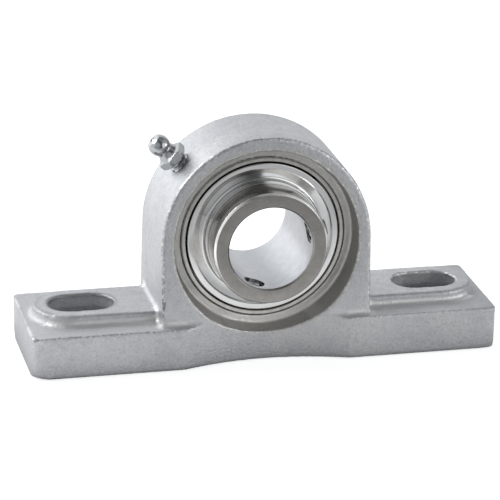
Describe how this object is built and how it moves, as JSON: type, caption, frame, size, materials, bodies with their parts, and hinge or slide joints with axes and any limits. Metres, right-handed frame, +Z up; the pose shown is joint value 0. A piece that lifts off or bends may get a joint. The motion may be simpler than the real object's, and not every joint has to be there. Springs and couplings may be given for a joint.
{
  "type": "pillow block bearing",
  "caption": "Cast stainless pillow block with a self-aligning ball bearing insert, set screws and a grease nipple; holds a rotating shaft above a flat surface.",
  "frame": {"origin": "centre of the base's mounting face, midway between the bolt slots", "axes": "+X along the base, +Y along the shaft from the set screw end to the back, +Z up from the mounting face"},
  "size_m": [0.14, 0.0388, 0.0679],
  "materials": {
    "cast_steel": "bead-blasted investment-cast stainless steel",
    "ring_steel": "ground bearing rings",
    "ball_steel": "polished",
    "cage_steel": "pressed stainless sheet",
    "rivet_steel": "headed wire",
    "seal_rubber": "moulded",
    "cap_steel": "pressed sheet",
    "flinger_steel": "mirror-polished pressing",
    "screw_steel": "satin",
    "nipple_steel": "bright machined",
    "spring_steel": "drawn wire"
  },
  "bodies": {
    "housing_body": {"housing": "cast_steel", "grease_nipple": "nipple_steel", "nipple_spring": "spring_steel"},
    "outer_ring_body": {"outer_ring": "ring_steel", "front_seal": "seal_rubber", "rear_seal": "seal_rubber", "front_seal_cap": "cap_steel", "rear_seal_cap": "cap_steel"},
    "inner_ring_body": {"inner_ring": "ring_steel", "front_flinger": "flinger_steel", "rear_flinger": "flinger_steel"},
    "cage_body": {"cage_front": "cage_steel", "cage_rear": "cage_steel", "cage_rivets": "rivet_steel"},
    "set_screw_1_body": {"set_screw_1": "screw_steel"},
    "set_screw_2_body": {"set_screw_2": "screw_steel"},
    "check_ball_body": {"nipple_check_ball": "ball_steel"},
    "ball_1_body": {"ball_1": "ball_steel"},
    "ball_2_body": {"ball_2": "ball_steel"},
    "ball_3_body": {"ball_3": "ball_steel"},
    "ball_4_body": {"ball_4": "ball_steel"},
    "ball_5_body": {"ball_5": "ball_steel"},
    "ball_6_body": {"ball_6": "ball_steel"},
    "ball_7_body": {"ball_7": "ball_steel"},
    "ball_8_body": {"ball_8": "ball_steel"},
    "ball_9_body": {"ball_9": "ball_steel"}
  },
  "joints": [
    {"name": "insert_tilt", "type": "hinge", "parent": "housing_body", "child": "outer_ring_body", "pos_m": [0, 0, 0.0365], "axis": [1, 0, 0], "range_deg": [-2, 2]},
    {"name": "inner_ring_spin", "type": "hinge", "parent": "outer_ring_body", "child": "inner_ring_body", "pos_m": [0, 0, 0.0365], "axis": [0, 1, 0], "continuous": true},
    {"name": "cage_orbit", "type": "hinge", "parent": "outer_ring_body", "child": "cage_body", "pos_m": [0, 0, 0.0365], "axis": [0, 1, 0], "continuous": true},
    {"name": "ball_1_spin", "type": "hinge", "parent": "cage_body", "child": "ball_1_body", "pos_m": [0, 0, 0.056], "axis": [0, 1, 0], "continuous": true},
    {"name": "ball_2_spin", "type": "hinge", "parent": "cage_body", "child": "ball_2_body", "pos_m": [-0.01253, 0, 0.05144], "axis": [0, 1, 0], "continuous": true},
    {"name": "ball_3_spin", "type": "hinge", "parent": "cage_body", "child": "ball_3_body", "pos_m": [-0.0192, 0, 0.03989], "axis": [0, 1, 0], "continuous": true},
    {"name": "ball_4_spin", "type": "hinge", "parent": "cage_body", "child": "ball_4_body", "pos_m": [-0.01689, 0, 0.02675], "axis": [0, 1, 0], "continuous": true},
    {"name": "ball_5_spin", "type": "hinge", "parent": "cage_body", "child": "ball_5_body", "pos_m": [-0.00667, 0, 0.01818], "axis": [0, 1, 0], "continuous": true},
    {"name": "ball_6_spin", "type": "hinge", "parent": "cage_body", "child": "ball_6_body", "pos_m": [0.00667, 0, 0.01818], "axis": [0, 1, 0], "continuous": true},
    {"name": "ball_7_spin", "type": "hinge", "parent": "cage_body", "child": "ball_7_body", "pos_m": [0.01689, 0, 0.02675], "axis": [0, 1, 0], "continuous": true},
    {"name": "ball_8_spin", "type": "hinge", "parent": "cage_body", "child": "ball_8_body", "pos_m": [0.0192, 0, 0.03989], "axis": [0, 1, 0], "continuous": true},
    {"name": "ball_9_spin", "type": "hinge", "parent": "cage_body", "child": "ball_9_body", "pos_m": [0.01253, 0, 0.05144], "axis": [0, 1, 0], "continuous": true},
    {"name": "set_screw_1_travel", "type": "slide", "parent": "inner_ring_body", "child": "set_screw_1_body", "axis": [0.9744, 0, 0.225], "range_m": [-0.0004, 0.0015]},
    {"name": "set_screw_2_travel", "type": "slide", "parent": "inner_ring_body", "child": "set_screw_2_body", "axis": [-0.2924, 0, -0.9563], "range_m": [-0.0004, 0.0015]},
    {"name": "check_ball_travel", "type": "slide", "parent": "housing_body", "child": "check_ball_body", "axis": [0.7361, -0.0802, -0.6721], "range_m": [0, 0.0008], "stiffness_N_per_m": 60, "springref_m": -0.0005, "deforming": ["nipple_spring"]}
  ],
  "couplings": [
    {"joint": "cage_orbit", "follows": "inner_ring_spin", "ratio": 0.39823},
    {"joint": "ball_1_spin", "follows": "inner_ring_spin", "ratio": -2.3548},
    {"joint": "ball_2_spin", "follows": "inner_ring_spin", "ratio": -2.3548},
    {"joint": "ball_3_spin", "follows": "inner_ring_spin", "ratio": -2.3548},
    {"joint": "ball_4_spin", "follows": "inner_ring_spin", "ratio": -2.3548},
    {"joint": "ball_5_spin", "follows": "inner_ring_spin", "ratio": -2.3548},
    {"joint": "ball_6_spin", "follows": "inner_ring_spin", "ratio": -2.3548},
    {"joint": "ball_7_spin", "follows": "inner_ring_spin", "ratio": -2.3548},
    {"joint": "ball_8_spin", "follows": "inner_ring_spin", "ratio": -2.3548},
    {"joint": "ball_9_spin", "follows": "inner_ring_spin", "ratio": -2.3548}
  ]
}
